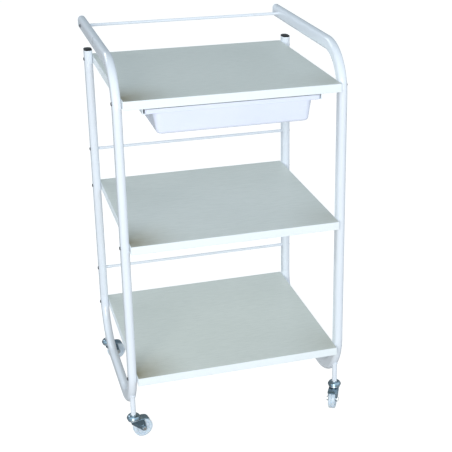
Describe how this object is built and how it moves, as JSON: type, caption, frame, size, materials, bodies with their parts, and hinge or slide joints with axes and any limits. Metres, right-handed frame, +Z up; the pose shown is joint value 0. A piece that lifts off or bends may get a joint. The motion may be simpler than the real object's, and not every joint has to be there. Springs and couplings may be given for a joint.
{
  "type": "rolling salon trolley",
  "caption": "Rolling salon trolley with bent oval-tube side frames, laminated shelves, a plastic drawer, rear guard rods and swivel casters.",
  "frame": {"origin": "on the floor under the middle of the trolley's outer box", "axes": "+X to the user's right, +Y to the rear (the drawer opens towards -Y), +Z up"},
  "size_m": [0.498, 0.4856, 0.851],
  "materials": {
    "white_powder_coat": "satin powder coat",
    "black_plastic": "satin moulded",
    "shelf_laminate": "white-grey melamine, fine grain, satin",
    "edge_band": "satin",
    "black_screw": "black oxide",
    "zinc_plated_steel": "bright zinc",
    "zinc_dark": "bright pressed steel, blue passivated",
    "runner_plastic": "satin",
    "drawer_plastic": "semi-gloss moulded",
    "wheel_nylon": "translucent nylon, satin"
  },
  "bodies": {
    "frame": {"left_side_frame": "white_powder_coat", "right_side_frame": "white_powder_coat", "left_post_cap": "black_plastic", "right_post_cap": "black_plastic", "left_handle_plug": "black_plastic", "right_handle_plug": "black_plastic", "top_shelf": "shelf_laminate", "middle_shelf": "shelf_laminate", "bottom_shelf": "shelf_laminate", "top_shelf_band": "edge_band", "middle_shelf_band": "edge_band", "bottom_shelf_band": "edge_band", "handle_rod": "white_powder_coat", "middle_guard_rod": "white_powder_coat", "bottom_guard_rod": "white_powder_coat", "top_shelf_screws": "black_screw", "middle_shelf_screws": "black_screw", "bottom_shelf_screws": "black_screw", "rod_screws": "black_screw", "runner_screws": "zinc_plated_steel", "left_runner": "runner_plastic", "right_runner": "runner_plastic", "swivel_balls": "zinc_plated_steel", "fl_socket": "white_powder_coat", "fl_stem": "zinc_plated_steel", "fl_bearing_cup": "zinc_dark", "fr_socket": "white_powder_coat", "fr_stem": "zinc_plated_steel", "fr_bearing_cup": "zinc_dark", "rl_socket": "white_powder_coat", "rl_stem": "zinc_plated_steel", "rl_bearing_cup": "zinc_dark", "rr_socket": "white_powder_coat", "rr_stem": "zinc_plated_steel", "rr_bearing_cup": "zinc_dark"},
    "drawer": {"drawer_tray": "drawer_plastic"},
    "fl_swivel": {"fl_fork": "zinc_dark", "fl_axle_bolt": "zinc_plated_steel", "fl_axle_nut": "zinc_plated_steel", "fl_hub_sleeve": "zinc_plated_steel"},
    "fl_roller": {"fl_wheel": "wheel_nylon"},
    "fr_swivel": {"fr_fork": "zinc_dark", "fr_axle_bolt": "zinc_plated_steel", "fr_axle_nut": "zinc_plated_steel", "fr_hub_sleeve": "zinc_plated_steel"},
    "fr_roller": {"fr_wheel": "wheel_nylon"},
    "rl_swivel": {"rl_fork": "zinc_dark", "rl_axle_bolt": "zinc_plated_steel", "rl_axle_nut": "zinc_plated_steel", "rl_hub_sleeve": "zinc_plated_steel"},
    "rl_roller": {"rl_wheel": "wheel_nylon"},
    "rr_swivel": {"rr_fork": "zinc_dark", "rr_axle_bolt": "zinc_plated_steel", "rr_axle_nut": "zinc_plated_steel", "rr_hub_sleeve": "zinc_plated_steel"},
    "rr_roller": {"rr_wheel": "wheel_nylon"}
  },
  "joints": [
    {"name": "drawer_slide", "type": "slide", "parent": "frame", "child": "drawer", "axis": [0, -1, 0], "range_m": [0, 0.24]},
    {"name": "fl_swivel_turn", "type": "hinge", "parent": "frame", "child": "fl_swivel", "pos_m": [-0.234, -0.2042, 0.0482], "axis": [0, 0, 1], "continuous": true},
    {"name": "fl_wheel_spin", "type": "hinge", "parent": "fl_swivel", "child": "fl_roller", "pos_m": [-0.21444, -0.20004, 0.0215], "axis": [-0.2079, 0.9781, 0], "continuous": true},
    {"name": "fr_swivel_turn", "type": "hinge", "parent": "frame", "child": "fr_swivel", "pos_m": [0.234, -0.2042, 0.0482], "axis": [0, 0, 1], "continuous": true},
    {"name": "fr_wheel_spin", "type": "hinge", "parent": "fr_swivel", "child": "fr_roller", "pos_m": [0.224, -0.22152, 0.0215], "axis": [0.866, -0.5, 0], "continuous": true},
    {"name": "rl_swivel_turn", "type": "hinge", "parent": "frame", "child": "rl_swivel", "pos_m": [-0.234, 0.1558, 0.0482], "axis": [0, 0, 1], "continuous": true},
    {"name": "rl_wheel_spin", "type": "hinge", "parent": "rl_swivel", "child": "rl_roller", "pos_m": [-0.2143, 0.15927, 0.0215], "axis": [-0.1736, 0.9848, 0], "continuous": true},
    {"name": "rr_swivel_turn", "type": "hinge", "parent": "frame", "child": "rr_swivel", "pos_m": [0.234, 0.1558, 0.0482], "axis": [0, 0, 1], "continuous": true},
    {"name": "rr_wheel_spin", "type": "hinge", "parent": "rr_swivel", "child": "rr_roller", "pos_m": [0.22716, 0.17459, 0.0215], "axis": [-0.9397, -0.342, 0], "continuous": true}
  ]
}
